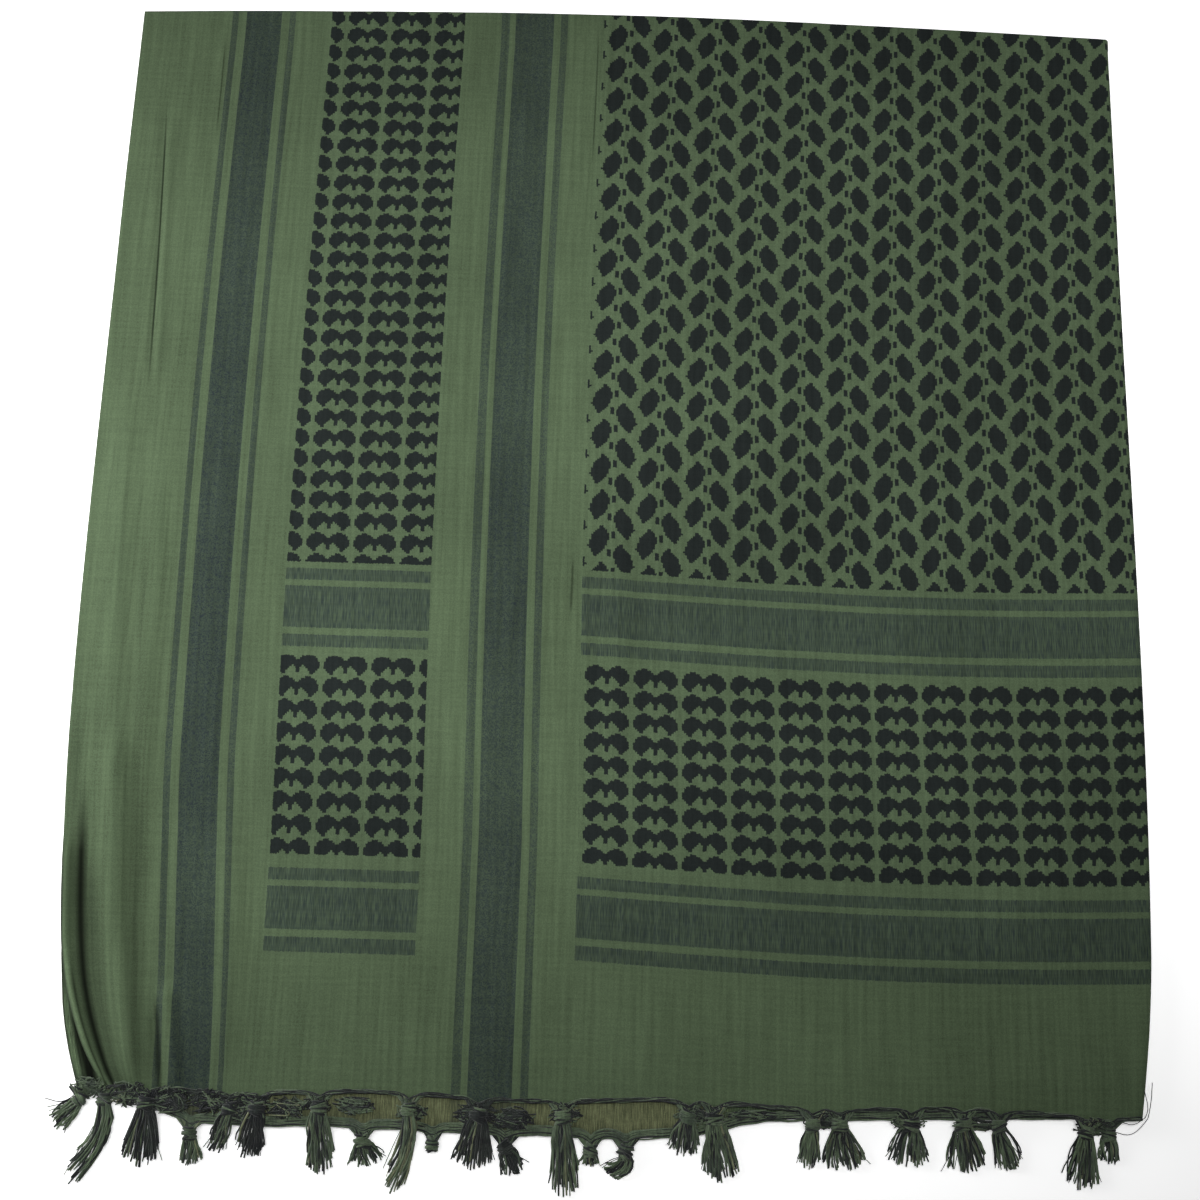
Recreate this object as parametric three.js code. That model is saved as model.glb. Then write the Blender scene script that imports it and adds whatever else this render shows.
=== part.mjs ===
// A cotton keffiyeh folded in quarters and laid flat, in millimetres.
// +X runs from the selvedges to the side fold, +Y from the fringe to the top fold, +Z is up.
// The origin is on the surface that the cloth lies on, in the middle of its footprint.
import * as THREE from "three";

// Footprint of the folded cloth.
const HALF_WIDTH = 276; // selvedge to side fold is twice this
const TOP_FOLD_Y = 321.5; // top fold, at the crown of its slight bow
const TOP_FOLD_BOW = 6.5; // how far the fold's ends lie below its crown
const TOP_BOW_POWER = 1.7; // shape of the bow: 2 is a parabola
const HEM_Y = -275; // mean line of the face ply's hem
const HEM_SAG = 1.2; // the hem waves by this much
const HEM_WAVE = 145; // length of one wave of the hem

// The stack of plies.
const PLY = 1.3; // wall of the face ply
const SEAM = 0.3; // gap between pieces
const LAYERS_TOP = 4.4; // top of the hidden plies
const FACE_TOP = LAYERS_TOP + SEAM + PLY; // top of the face ply where it lies flat
const SIDE_ROLL = 3.4; // radius of the face ply's turn at the side fold
const TOP_ROLL = 1.5; // radius of its turn at the top fold
const LAYERS_CORNER = 2.2; // how far the hidden plies' corners are cut off
const LAYERS_STEPS = { left: 15, top: 9, side: 7, hem: 22 }; // points along each edge of a hidden ply

// Grid of the face ply: its columns crowd towards the gathered margin, its rows towards the hem.
const FACE_COLUMNS = 25;
const FACE_ROWS = 27;
const COLUMN_CROWDING = 1.6;
const ROW_CROWDING = 1.35;

// Heading: the bound edge where the cloth ends and the fringe starts.
const HEADING_GAP = 0.5; // from the hem to the heading
const HEADING_HALF_DEPTH = 2;
const HEADING_HALF_HEIGHT = 1.1;
const HEADING_LEFT_X = -236;
const HEADING_RIGHT_X = 266;
const HEADING_STEPS = 36;
const HEADING_SIDES = 6;

// Tassels.
const TASSEL_GAP = 1; // from the heading or the under ply's hem to the neck
const KNOT_HALF_HEIGHT = 2.1;
const TIP_HALF_HEIGHT = 0.8;
const TASSEL_LEAST_HALF = 1.6; // no tassel is narrower than twice this
const TASSEL_SIDES = 6;
const UNDER_CLEAR = 5; // a tassel of the face ply starts down this far past the under ply
const UNDER_FALL = 7; // and reaches the surface over this distance

// Left edge of the face ply: it draws in towards the fringe, where the margin is gathered.
const FACE_LEFT = [
  { y: 322, x: -275 },
  { y: 190, x: -276 },
  { y: -90, x: -275.4 },
  { y: -150, x: -272.6 },
  { y: -198, x: -268.8 },
  { y: -224, x: -264.5 },
  { y: -245, x: -257.5 },
  { y: -262, x: -249 },
  { y: -278, x: -238 },
];

// Left edge of the plies beneath, which show beside it near the fringe.
const LAYERS_LEFT = [
  { y: 322, x: -274.4 },
  { y: 190, x: -275.4 },
  { y: -90, x: -275 },
  { y: -150, x: -272.4 },
  { y: -190, x: -270 },
  { y: -212, x: -268.4 },
  { y: -235, x: -265.4 },
  { y: -255, x: -260.8 },
  { y: -284, x: -251 },
];

// Side fold: it draws in a little near the fringe.
const SIDE_FOLD = [
  { y: 322, x: 275.4 },
  { y: 200, x: 276 },
  { y: -195, x: 275.6 },
  { y: -220, x: 274 },
  { y: -240, x: 272 },
  { y: -285, x: 266 },
];

// Lower edge of the second ply, which reaches past the face ply's hem.
const UNDER_HEM = [
  { x: -250, y: -276 },
  { x: -226, y: -281 },
  { x: -205, y: -289.5 },
  { x: -120, y: -292 },
  { x: 10, y: -293.5 },
  { x: 48, y: -291.5 },
  { x: 75, y: -285 },
  { x: 125, y: -282 },
  { x: 200, y: -279.5 },
  { x: 268, y: -277 },
];

// Soft folds of the face ply: a ridge along a line of points, with its height and half width.
const RIDGES = [
  { rise: 1.2, half: 6, line: [[-261, 70], [-255, -40], [-247, -135]] },
  { rise: 4.2, half: 7.5, line: [[-250, -120], [-244, -190], [-235, -238], [-224, -272]] },
  { rise: 2.6, half: 3.2, line: [[-270, -150], [-265, -205], [-258, -238], [-241, -272]] },
  { rise: 2.4, half: 5, line: [[-212, -238], [-203, -268]] },
  { rise: 1.6, half: 9, line: [[-185, -150], [-182, -255]] },
  { rise: 1.2, half: 12, line: [[6, 30], [9, -120]] },
  { rise: 1.6, half: 14, line: [[150, -250], [262, -262]] },
];

// Edge of each hidden ply: how far the outline is drawn in at each height.
const LAYER_LEVELS = [
  { z: 0, left: 1.6, hem: 5.6, side: 1.8, top: 1.4 },
  { z: 0.45, left: 0.4, hem: 4.2, side: 0.5, top: 0.4 },
  { z: 1.2, left: 0.4, hem: 4, side: 0, top: 0 },
  { z: 1.4, left: 3.2, hem: 9, side: 0, top: 0 },
  { z: 1.6, left: 1.8, hem: 7.6, side: 0.1, top: 0 },
  { z: 1.95, left: 1.8, hem: 7.6, side: 0.3, top: 0 },
  { z: 2.15, left: 1.8, hem: 7.6, side: 1.7, top: 0.2 },
  { z: 2.8, left: 2.2, hem: 8.2, side: 1.7, top: 0.6 },
  { z: 2.95, left: 3.6, hem: 9, side: 1.8, top: 1.2 },
  { z: 3.15, left: 0.6, hem: 0.8, side: 1.9, top: 0.4 },
  { z: 3.6, left: 0.2, hem: 0, side: 2, top: 0.1 },
  { z: 4, left: 0.2, hem: 0, side: 2.6, top: 0.5 },
  { z: 4.15, left: 0.4, hem: 0.3, side: 3, top: 2 },
  { z: LAYERS_TOP, left: 0.8, hem: 0.8, side: 3.8, top: 2.4 },
];

// The fringe: the ply that each tassel hangs from, where along its hem, where the tip lies,
// and the tassel's half width there. bow bends it sideways.
const TASSELS = [
  { ply: "face", rootX: -252, tipX: -265, tipY: -293, half: 6, bow: 0 },
  { ply: "face", rootX: -240, tipX: -252, tipY: -320.5, half: 5, bow: 4 },
  { ply: "face", rootX: -219, tipX: -221, tipY: -311, half: 9, bow: 0 },
  { ply: "under", rootX: -197, tipX: -196, tipY: -310, half: 5, bow: 0 },
  { ply: "face", rootX: -178, tipX: -186, tipY: -305, half: 4, bow: 0 },
  { ply: "face", rootX: -165, tipX: -169, tipY: -306, half: 6, bow: 0 },
  { ply: "face", rootX: -135, tipX: -132, tipY: -313, half: 7, bow: 0 },
  { ply: "under", rootX: -113, tipX: -110, tipY: -308, half: 8, bow: 0 },
  { ply: "face", rootX: -91, tipX: -98, tipY: -320, half: 4, bow: 3 },
  { ply: "under", rootX: -79, tipX: -79, tipY: -301, half: 2.5, bow: 0 },
  { ply: "face", rootX: -57, tipX: -60, tipY: -308, half: 9.5, bow: 0 },
  { ply: "under", rootX: -43.5, tipX: -38, tipY: -310, half: 6, bow: 0 },
  { ply: "face", rootX: -16, tipX: -14, tipY: -319, half: 6, bow: 0 },
  { ply: "under", rootX: -2, tipX: -3, tipY: -305, half: 4.5, bow: 0 },
  { ply: "under", rootX: 15, tipX: 8, tipY: -310, half: 5, bow: 3 },
  { ply: "face", rootX: 45, tipX: 43, tipY: -299, half: 7, bow: 0 },
  { ply: "face", rootX: 58, tipX: 63, tipY: -310, half: 8, bow: 0 },
  { ply: "face", rootX: 106, tipX: 104, tipY: -303, half: 5, bow: 0 },
  { ply: "face", rootX: 119, tipX: 122, tipY: -304, half: 10, bow: 0 },
  { ply: "face", rootX: 154, tipX: 152, tipY: -301, half: 10, bow: 0 },
  { ply: "face", rootX: 179, tipX: 182, tipY: -303, half: 9.5, bow: 0 },
  { ply: "face", rootX: 197, tipX: 204, tipY: -301, half: 7, bow: 0 },
  { ply: "face", rootX: 240, tipX: 236, tipY: -309, half: 8.5, bow: 0 },
  { ply: "face", rootX: 251, tipX: 251, tipY: -297, half: 5, bow: 0 },
];

const greenCloth = new THREE.MeshStandardMaterial({ color: 0x4d6146, roughness: 0.95 });
const underCloth = new THREE.MeshStandardMaterial({ color: 0x5c5d42, roughness: 0.97 });
const darkYarn = new THREE.MeshStandardMaterial({ color: 0x2b3130, roughness: 0.97 });
const fringeYarn = new THREE.MeshStandardMaterial({ color: 0x3c4c38, roughness: 0.97 });

// Reads a table of {y, x} or {x, y} rows, straight from one row to the next.
function along(rows, from, to, at) {
  const order = rows[0][from] < rows[rows.length - 1][from] ? rows : [...rows].reverse();
  const first = order[0];
  if (at <= first[from]) return first[to];
  for (let i = 1; i < order.length; i++) {
    const a = order[i - 1];
    const b = order[i];
    if (at <= b[from]) {
      return THREE.MathUtils.lerp(a[to], b[to], (at - a[from]) / (b[from] - a[from]));
    }
  }
  return order[order.length - 1][to];
}

const faceLeftX = (y) => along(FACE_LEFT, "y", "x", y);
const layersLeftX = (y) => along(LAYERS_LEFT, "y", "x", y);
const sideFoldX = (y) => along(SIDE_FOLD, "y", "x", y);
const underHemY = (x) => along(UNDER_HEM, "x", "y", x);
const topFoldY = (x) => TOP_FOLD_Y - TOP_FOLD_BOW * Math.abs(x / HALF_WIDTH) ** TOP_BOW_POWER;
const hemY = (x) => HEM_Y + HEM_SAG * Math.sin((2 * Math.PI * x) / HEM_WAVE);
const headingY = (x) => hemY(x) - HEADING_GAP - HEADING_HALF_DEPTH;

// Height of the soft folds above the flat cloth.
function foldRise(x, y) {
  let height = 0;
  for (const { rise, half, line } of RIDGES) {
    let lift = 0;
    for (let i = 1; i < line.length; i++) {
      const a = new THREE.Vector2(...line[i - 1]);
      const run = new THREE.Vector2(...line[i]).sub(a);
      const reach = new THREE.Vector2(x, y).sub(a);
      const t = THREE.MathUtils.clamp(reach.dot(run) / run.lengthSq(), 0, 1);
      const away = reach.sub(run.multiplyScalar(t)).length();
      lift = Math.max(lift, Math.exp(-((away / half) ** 2)));
    }
    height += rise * lift;
  }
  return height;
}

// A closed solid from two grids of the same size, the outer one listed with its normal outwards.
function wallSolid(outer, inner) {
  const rows = outer.length;
  const columns = outer[0].length;
  const positions = [...outer.flat(), ...inner.flat()].flatMap((p) => p.toArray());
  const outerAt = (r, c) => r * columns + c;
  const innerAt = (r, c) => rows * columns + r * columns + c;
  const faces = [];
  const quad = (a, b, c, d) => faces.push(a, b, c, a, c, d);
  for (let r = 0; r < rows - 1; r++) {
    for (let c = 0; c < columns - 1; c++) {
      quad(outerAt(r, c), outerAt(r, c + 1), outerAt(r + 1, c + 1), outerAt(r + 1, c));
      quad(innerAt(r, c), innerAt(r + 1, c), innerAt(r + 1, c + 1), innerAt(r, c + 1));
    }
  }
  for (let c = 0; c < columns - 1; c++) {
    quad(innerAt(0, c), innerAt(0, c + 1), outerAt(0, c + 1), outerAt(0, c));
    quad(outerAt(rows - 1, c), outerAt(rows - 1, c + 1), innerAt(rows - 1, c + 1), innerAt(rows - 1, c));
  }
  for (let r = 0; r < rows - 1; r++) {
    quad(innerAt(r, 0), outerAt(r, 0), outerAt(r + 1, 0), innerAt(r + 1, 0));
    const last = columns - 1;
    quad(outerAt(r, last), innerAt(r, last), innerAt(r + 1, last), outerAt(r + 1, last));
  }
  return solidGeometry(positions, faces);
}

// A closed solid through rings of the same number of points, with flat ends.
// Rings run anticlockwise when seen from the last ring towards the first.
function loftSolid(rings) {
  const count = rings[0].length;
  const positions = rings.flat().flatMap((p) => p.toArray());
  const faces = [];
  for (let k = 0; k < rings.length - 1; k++) {
    for (let i = 0; i < count; i++) {
      const next = (i + 1) % count;
      const a = k * count + i;
      const b = k * count + next;
      faces.push(a, b, b + count, a, b + count, a + count);
    }
  }
  const cap = (ring, start, flip) => {
    const middle = positions.length / 3;
    const centre = new THREE.Vector3();
    ring.forEach((p) => centre.addScaledVector(p, 1 / count));
    positions.push(...centre.toArray());
    for (let i = 0; i < count; i++) {
      const a = start + i;
      const b = start + ((i + 1) % count);
      faces.push(...(flip ? [middle, b, a] : [middle, a, b]));
    }
  };
  cap(rings[0], 0, true);
  cap(rings[rings.length - 1], (rings.length - 1) * count, false);
  return solidGeometry(positions, faces);
}

function solidGeometry(positions, faces) {
  const geometry = new THREE.BufferGeometry();
  geometry.setAttribute("position", new THREE.Float32BufferAttribute(positions, 3));
  geometry.setIndex(faces);
  geometry.computeVertexNormals();
  return geometry;
}

// The face ply: flat cloth with soft folds, turned down over the side fold and the top fold.
function faceQuarter() {
  const turns = [30, 60, 90].map(THREE.MathUtils.degToRad);
  const across = []; // share of the flat width, then angles of the side turn
  for (let i = 0; i <= FACE_COLUMNS; i++) {
    across.push({ share: (i / FACE_COLUMNS) ** COLUMN_CROWDING, turn: 0 });
  }
  turns.forEach((turn) => across.push({ share: 1, turn }));
  const up = [];
  for (let i = 0; i <= FACE_ROWS; i++) {
    up.push({ share: (i / FACE_ROWS) ** ROW_CROWDING, turn: 0 });
  }
  turns.forEach((turn) => up.push({ share: 1, turn }));

  const grid = (inset) =>
    up.map((row) =>
      across.map((column) => {
        const yGuess = THREE.MathUtils.lerp(HEM_Y, TOP_FOLD_Y, row.share);
        const leftX = faceLeftX(yGuess);
        const x0 = THREE.MathUtils.lerp(leftX, sideFoldX(yGuess) - SIDE_ROLL, column.share);
        const y0 = THREE.MathUtils.lerp(hemY(x0), topFoldY(x0) - TOP_ROLL, row.share);
        const side = SIDE_ROLL - inset;
        const top = TOP_ROLL - inset;
        const drop = Math.hypot(side * (1 - Math.cos(column.turn)), top * (1 - Math.cos(row.turn)));
        return new THREE.Vector3(
          x0 + side * Math.sin(column.turn),
          y0 + top * Math.sin(row.turn),
          FACE_TOP - inset - drop + foldRise(x0, y0),
        );
      }),
    );
  return wallSolid(grid(0), grid(PLY));
}

// The three plies beneath as one rounded solid, flat below and layered at its edges.
function foldedLayers() {
  const ring = ({ z, left, hem, side, top }) => {
    const points = [];
    const push = (x, y) => points.push(new THREE.Vector3(x, y, z));
    const leftX = (y) => layersLeftX(y) + left;
    const sideX = (y) => sideFoldX(y) - side;
    const topY = (x) => topFoldY(x) - top;
    const lowY = (x) => underHemY(x) + hem;
    const bottomLeftX = leftX(HEM_Y);
    const bottomLeftY = lowY(bottomLeftX) + LAYERS_CORNER;
    const topLeftY = topY(leftX(TOP_FOLD_Y)) - LAYERS_CORNER;
    const sideTopY = topY(sideX(TOP_FOLD_Y)) - LAYERS_CORNER;
    const sideLowY = lowY(sideX(HEM_Y)) + LAYERS_CORNER;
    const run = (count, from, to, place) => {
      for (let i = 0; i <= count; i++) place(THREE.MathUtils.lerp(from, to, i / count));
    };
    run(LAYERS_STEPS.hem, bottomLeftX + LAYERS_CORNER, sideX(HEM_Y) - LAYERS_CORNER, (x) => push(x, lowY(x)));
    run(LAYERS_STEPS.side, sideLowY, sideTopY, (y) => push(sideX(y), y));
    const topFrom = sideX(TOP_FOLD_Y) - LAYERS_CORNER;
    run(LAYERS_STEPS.top, topFrom, leftX(TOP_FOLD_Y) + LAYERS_CORNER, (x) => push(x, topY(x)));
    run(LAYERS_STEPS.left, topLeftY, bottomLeftY, (y) => push(leftX(y), y));
    return points;
  };
  return loftSolid(LAYER_LEVELS.map(ring));
}

// The bound heading, a flattened cord just past the face ply's hem.
function fringeHeading() {
  const section = [];
  for (let i = 0; i < HEADING_SIDES; i++) section.push((2 * Math.PI * i) / HEADING_SIDES);
  const rings = [];
  for (let i = 0; i <= HEADING_STEPS; i++) {
    const x = THREE.MathUtils.lerp(HEADING_LEFT_X, HEADING_RIGHT_X, i / HEADING_STEPS);
    const y = headingY(x);
    const z = LAYERS_TOP + SEAM + HEADING_HALF_HEIGHT;
    rings.push(
      section.map(
        (turn) =>
          new THREE.Vector3(
            x,
            y + HEADING_HALF_DEPTH * Math.cos(turn),
            z + HEADING_HALF_HEIGHT * Math.sin(turn),
          ),
      ),
    );
  }
  return loftSolid(rings);
}

// A tassel: neck, knot, waist and a flared skirt whose tip rests on the surface below.
function tassel({ ply, rootX, tipX, tipY, half, bow }) {
  const onFace = ply === "face";
  const rootY = onFace ? headingY(rootX) - HEADING_HALF_DEPTH : underHemY(rootX);
  const root = new THREE.Vector2(rootX, rootY - TASSEL_GAP);
  const tip = new THREE.Vector2(tipX, tipY);
  const run = tip.clone().sub(root);
  const length = run.length();
  const ahead = run.clone().normalize();
  const acrossWay = new THREE.Vector2(-ahead.y, ahead.x);
  const restHigh = LAYERS_TOP + SEAM;
  const shape = [
    { share: 0, half: 0.45, high: 1.3 },
    { share: 0.2, half: 0.62, high: KNOT_HALF_HEIGHT },
    { share: 0.42, half: 0.45, high: 1.4 },
    { share: 0.72, half: 0.8, high: 1.1 },
    { share: 1, half: 1, high: TIP_HALF_HEIGHT },
  ];
  const rings = shape.map((row) => {
    const middle = root.clone().addScaledVector(ahead, length * row.share);
    const arc = 4 * row.share * (1 - row.share); // 1 halfway down, 0 at the ends
    middle.addScaledVector(acrossWay, bow * arc);
    const halfWide = Math.max(TASSEL_LEAST_HALF, half * row.half);
    const past = underHemY(middle.x) - UNDER_CLEAR - middle.y;
    const down = THREE.MathUtils.smoothstep(past, 0, UNDER_FALL);
    const rest = onFace ? restHigh * (1 - down) : 0;
    const turn = THREE.MathUtils.degToRad(360 / TASSEL_SIDES);
    const points = [];
    for (let i = 0; i < TASSEL_SIDES; i++) {
      const wide = halfWide * Math.cos(i * turn);
      points.push(
        new THREE.Vector3(
          middle.x + acrossWay.x * wide,
          middle.y + acrossWay.y * wide,
          rest + row.high + row.high * Math.sin(i * turn),
        ),
      );
    }
    return points;
  });
  return loftSolid(rings);
}

function named(name, geometry, material) {
  const mesh = new THREE.Mesh(geometry, material);
  mesh.name = name;
  return mesh;
}

const keffiyeh = new THREE.Group();
keffiyeh.add(named("face_quarter", faceQuarter(), greenCloth));
keffiyeh.add(named("folded_layers", foldedLayers(), underCloth));
keffiyeh.add(named("fringe_heading", fringeHeading(), darkYarn));
const fringe = new THREE.Group();
TASSELS.forEach((row, i) => {
  const number = String(i + 1).padStart(2, "0");
  fringe.add(named(`tassel_${number}`, tassel(row), fringeYarn));
});
keffiyeh.add(fringe);

export default keffiyeh;
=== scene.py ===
import math
import random

import bmesh
import bpy
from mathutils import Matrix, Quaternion, Vector, noise


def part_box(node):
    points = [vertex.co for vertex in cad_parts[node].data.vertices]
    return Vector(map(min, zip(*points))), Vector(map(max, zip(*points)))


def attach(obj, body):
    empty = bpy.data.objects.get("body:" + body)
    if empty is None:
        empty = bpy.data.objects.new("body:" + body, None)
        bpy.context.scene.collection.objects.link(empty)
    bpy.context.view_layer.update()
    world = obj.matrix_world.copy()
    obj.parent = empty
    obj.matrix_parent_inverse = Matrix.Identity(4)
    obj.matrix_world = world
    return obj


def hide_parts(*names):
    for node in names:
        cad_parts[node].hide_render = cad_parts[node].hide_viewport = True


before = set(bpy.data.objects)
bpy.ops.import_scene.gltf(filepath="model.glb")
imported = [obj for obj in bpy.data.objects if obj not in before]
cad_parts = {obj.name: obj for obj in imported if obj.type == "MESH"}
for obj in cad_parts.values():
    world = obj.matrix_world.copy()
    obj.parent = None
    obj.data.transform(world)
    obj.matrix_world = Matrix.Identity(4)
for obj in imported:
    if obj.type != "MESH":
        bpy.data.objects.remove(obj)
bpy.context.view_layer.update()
random.seed(11)
mm = 0.001

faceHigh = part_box("face_quarter")[1]
halfWidth = 276  # of the lying cloth, in mm


def smooth(value):
    value = min(1.0, max(0.0, value))
    return value * value * (3 - 2 * value)


def mixed(a, b, share):
    return a + (b - a) * share


def readTable(rows, at):  # rows of (at, value), rising, as a smooth curve that never overshoots
    if at <= rows[0][0]:
        return rows[0][1]
    if at >= rows[-1][0]:
        return rows[-1][1]
    k = next(i for i, row in enumerate(rows) if at <= row[0]) - 1

    def slope(i):  # of the stretch that follows row i
        return (rows[i + 1][1] - rows[i][1]) / (rows[i + 1][0] - rows[i][0])

    here = slope(k)
    before = slope(k - 1) if k > 0 else here
    after = slope(k + 1) if k + 2 < len(rows) else here
    startSlope = (before + here) / 2 if before * here > 0 else 0.0
    endSlope = (here + after) / 2 if here * after > 0 else 0.0
    run = rows[k + 1][0] - rows[k][0]
    t = (at - rows[k][0]) / run
    value = rows[k][1] * (1 + 2 * t) * (1 - t) ** 2 + rows[k + 1][1] * t * t * (3 - 2 * t)
    return value + run * (startSlope * t * (1 - t) ** 2 - endSlope * t * t * (1 - t))


def lineReach(line, x, y):  # distance to a line of points, and the share of its length there
    best = (1e9, 0.0)
    total = sum(math.dist(a, b) for a, b in zip(line, line[1:]))
    gone = 0.0
    for a, b in zip(line, line[1:]):
        run = math.dist(a, b)
        t = ((x - a[0]) * (b[0] - a[0]) + (y - a[1]) * (b[1] - a[1])) / run ** 2
        t = min(1.0, max(0.0, t))
        away = math.dist((x, y), (mixed(a[0], b[0], t), mixed(a[1], b[1], t)))
        if away < best[0]:
            best = (away, (gone + t * run) / total)
        gone += run
    return best


def finishPiece(obj, material, slotName, *nodes):
    if material:
        obj.data.materials.append(material)
    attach(obj, "root")
    if nodes:
        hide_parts(*nodes)
    return obj


def meshFrom(bm, name):
    mesh = bpy.data.meshes.new(name)
    bm.to_mesh(mesh)
    bm.free()
    obj = bpy.data.objects.new(name, mesh)
    bpy.context.collection.objects.link(obj)
    for polygon in mesh.polygons:
        polygon.use_smooth = True
    return obj


cameraSettings = {
    "lens": 50,
    "target": (-5.25 * mm, -22.9 * mm, 5 * mm),
    "distance": 873 * mm,
    "tilt": 13.6,  # degrees off the vertical, from the fringe end
    "roll": 1.7,
}


def makeCamera(settings):
    tilt = math.radians(settings["tilt"])
    back = Vector((0, -math.sin(tilt), math.cos(tilt)))
    data = bpy.data.cameras.new("camera")
    data.lens = settings["lens"]
    data.clip_start = 0.01
    camera = bpy.data.objects.new("camera", data)
    bpy.context.collection.objects.link(camera)
    camera.location = Vector(settings["target"]) + back * settings["distance"]
    camera.rotation_euler = (tilt, 0, 0)
    camera.rotation_mode = "QUATERNION"
    camera.rotation_quaternion = (-back).to_track_quat("-Z", "Y")
    camera.rotation_quaternion @= Quaternion((0, 0, 1), math.radians(settings["roll"]))
    bpy.context.scene.camera = camera


lightSettings = [
    {"name": "lowStrip", "at": (-0.2, -0.1, 0.95), "aim": (-0.2, -0.1, 0), "size": (1.0, 0.1), "power": 1.36,
     "spread": 60},
    {"name": "highStrip", "at": (0.05, 0.21, 0.95), "aim": (0.05, 0.21, 0), "size": (1.5, 0.1), "power": 1.8,
     "spread": 60},
    {"name": "sideLight", "at": (-0.7, 0.0, 0.25), "aim": (-0.25, -0.03, 0), "size": (0.3, 0.3), "power": 2.7,
     "spread": 150},
]
ambient = 0.13
floorGlow = 0.4  # keeps the far side of the sweep pale


def makeLights(rows):
    for row in rows:
        data = bpy.data.lights.new(row["name"], "AREA")
        data.shape = "RECTANGLE"
        data.size, data.size_y = row["size"]
        data.energy = row["power"]
        data.spread = math.radians(row["spread"])
        light = bpy.data.objects.new(row["name"], data)
        bpy.context.collection.objects.link(light)
        light.location = row["at"]
        light.rotation_mode = "QUATERNION"
        light.rotation_quaternion = (Vector(row["aim"]) - Vector(row["at"])).to_track_quat("-Z", "Y")
    world = bpy.data.worlds.new("studio")
    world.use_nodes = True
    world.node_tree.nodes["Background"].inputs["Color"].default_value = (1, 1, 1, 1)
    world.node_tree.nodes["Background"].inputs["Strength"].default_value = ambient
    bpy.context.scene.world = world
    bpy.context.scene.view_settings.view_transform = "Standard"


def makeFloor():
    bm = bmesh.new()
    bmesh.ops.create_grid(bm, x_segments=1, y_segments=1, size=3)
    floor = meshFrom(bm, "floor")
    material = bpy.data.materials.new("paleFloor")
    material.use_nodes = True
    shader = material.node_tree.nodes["Principled BSDF"]
    shader.inputs["Base Color"].default_value = (0.95, 0.95, 0.95, 1)
    shader.inputs["Roughness"].default_value = 0.9
    shader.inputs["Emission Color"].default_value = (1, 1, 1, 1)
    shader.inputs["Emission Strength"].default_value = floorGlow
    floor.data.materials.append(material)


makeCamera(cameraSettings)
makeLights(lightSettings)
makeFloor()
print("camera, lights and floor made")


class NodeDesk:  # a short way to add nodes to one tree

    def __init__(self, tree):
        self.tree = tree

    def add(self, kind, **settings):
        node = self.tree.nodes.new(kind)
        for key, value in settings.items():
            setattr(node, key, value)
        return node

    def join(self, value, socket):
        if isinstance(value, bpy.types.NodeSocket):
            self.tree.links.new(value, socket)
        else:
            socket.default_value = value

    def math(self, operation, *values):
        node = self.add("ShaderNodeMath", operation=operation)
        for value, socket in zip(values, node.inputs):
            self.join(value, socket)
        return node.outputs[0]

    def range(self, value, low, high, toLow=0.0, toHigh=1.0, kind="LINEAR"):
        node = self.add("ShaderNodeMapRange", interpolation_type=kind)
        for item, socket in zip((value, low, high, toLow, toHigh), node.inputs):
            self.join(item, socket)
        return node.outputs[0]

    def blend(self, share, a, b, mode="MIX"):
        node = self.add("ShaderNodeMix", data_type="RGBA", blend_type=mode)
        self.join(share, node.inputs[0])
        self.join(a, node.inputs[6])
        self.join(b, node.inputs[7])
        return node.outputs[2]

    def noise(self, vector, scale, detail=2.0, rough=0.5, flat=False):
        node = self.add("ShaderNodeTexNoise", noise_dimensions="2D" if flat else "3D")
        self.join(vector, node.inputs["Vector"])
        self.join(scale, node.inputs["Scale"])
        self.join(detail, node.inputs["Detail"])
        self.join(rough, node.inputs["Roughness"])
        return node.outputs["Fac"]

    def stretch(self, vector, factors):
        node = self.add("ShaderNodeVectorMath", operation="MULTIPLY")
        self.join(vector, node.inputs[0])
        self.join(factors, node.inputs[1])
        return node.outputs[0]

    def point(self, x, y, z=0.0):
        node = self.add("ShaderNodeCombineXYZ")
        for value, socket in zip((x, y, z), node.inputs):
            self.join(value, socket)
        return node.outputs[0]

    def group(self, tree, **inputs):
        node = self.add("ShaderNodeGroup")
        node.node_tree = tree
        for key, value in inputs.items():
            self.join(value, node.inputs[key])
        return node.outputs


def newGroup(name, inputs, outputs):
    tree = bpy.data.node_groups.new(name, "ShaderNodeTree")
    for label, kind, value in inputs:
        socket = tree.interface.new_socket(label, in_out="INPUT", socket_type=kind)
        if value is not None:
            socket.default_value = value
    for label, kind in outputs:
        tree.interface.new_socket(label, in_out="OUTPUT", socket_type=kind)
    desk = NodeDesk(tree)
    start = desk.add("NodeGroupInput")
    end = desk.add("NodeGroupOutput")
    return tree, desk, start.outputs, end.inputs


number, vector = "NodeSocketFloat", "NodeSocketVector"
colourRun, weftRow = 0.0031, 0.0006  # how far a thread keeps one shift, and one weft row, in metres

# The net's lozenge: its rows widen and narrow evenly about a centre that leans as it goes down, with a small
# dash beside its foot. Its mirror image stands next to it, half a repeat higher.
netLozenge = [
    "....##......",
    "...###......",
    "..#####.....",
    "..######....",
    ".########...",
    ".#########..",
    ".#########..",
    ".#########..",
    "..#########.",
    "..#########.",
    "..#########.",
    "...#########",
    "...########.",
    "##..######..",
    "##...#####..",
    "##....###...",
    "##.....##...",
    "............",
    "............",
    "............",
]

# The scallop's bead: round above, drawn out to a point below, with a drop at its side. Its mirror image faces it.
scallopBead = [
    "....###.....",
    "..#######...",
    ".#########..",
    "##########..",
    "###########.",
    "###########.",
    "##.########.",
    "#...#######.",
    "#....#####..",
    "#.....###...",
    "......##....",
    "............",
]


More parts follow.
